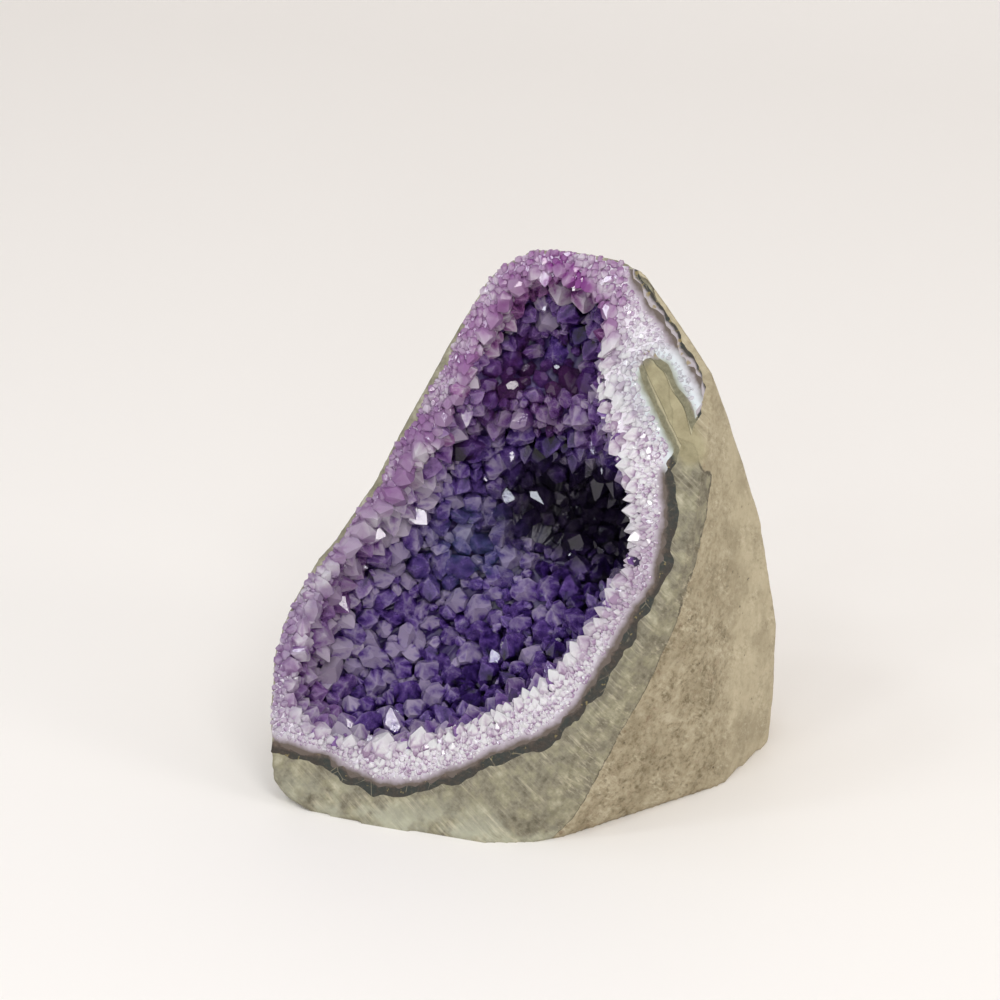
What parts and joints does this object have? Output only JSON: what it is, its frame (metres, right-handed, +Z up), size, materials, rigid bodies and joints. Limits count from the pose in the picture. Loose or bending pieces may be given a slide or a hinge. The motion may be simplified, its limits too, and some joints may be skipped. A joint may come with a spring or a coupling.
{
  "type": "amethyst cluster",
  "caption": "Sawn piece of basalt standing on a flat foot, its leaning face cut through an open geode lined with a dark rind, pale quartz and amethyst points.",
  "frame": {"origin": "centre of the bounding box on the plane the piece rests on", "axes": "+Z up, -Y the way the opening faces, +X to the right seen from the front"},
  "size_m": [0.113, 0.109, 0.1323],
  "materials": {
    "basalt": "sawn and rubbed smooth, matt, grey-green near the geode and tan outside",
    "rind": "dark brown to green-black, dull, with golden specks",
    "amethyst": "glossy crystal faces, white and lilac at the rim, deep violet inside"
  },
  "bodies": {
    "root": {"basalt_matrix": "basalt", "rind": "rind", "amethyst_crust": "amethyst"}
  },
  "joints": []
}
